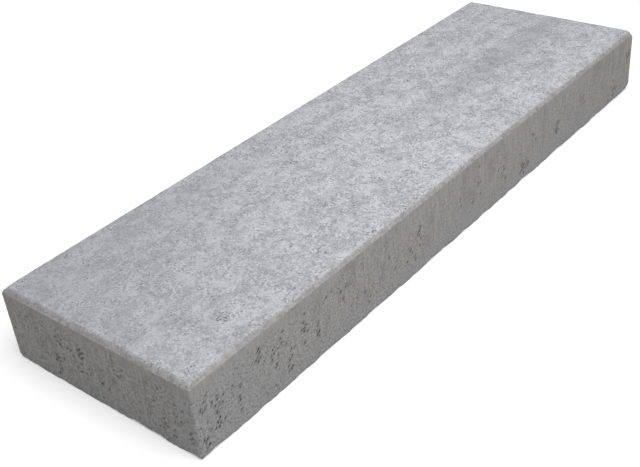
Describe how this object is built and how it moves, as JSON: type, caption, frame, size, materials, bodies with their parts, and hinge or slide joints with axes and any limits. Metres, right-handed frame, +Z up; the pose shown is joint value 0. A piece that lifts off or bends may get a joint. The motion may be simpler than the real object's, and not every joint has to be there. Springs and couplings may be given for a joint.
{
  "type": "concrete block step",
  "caption": "Solid one-piece concrete block step, a long low rectangular block with a flat tread, chamfered top edges and straight riser faces.",
  "frame": {"origin": "middle of the underside, on the ground", "axes": "+X along the step's length, -Y towards the front riser that faces the person climbing, +Z up through the tread"},
  "size_m": [1.5, 0.45, 0.15],
  "materials": {
    "grey_concrete": "matte"
  },
  "bodies": {
    "root": {"block_step": "grey_concrete"}
  },
  "joints": []
}
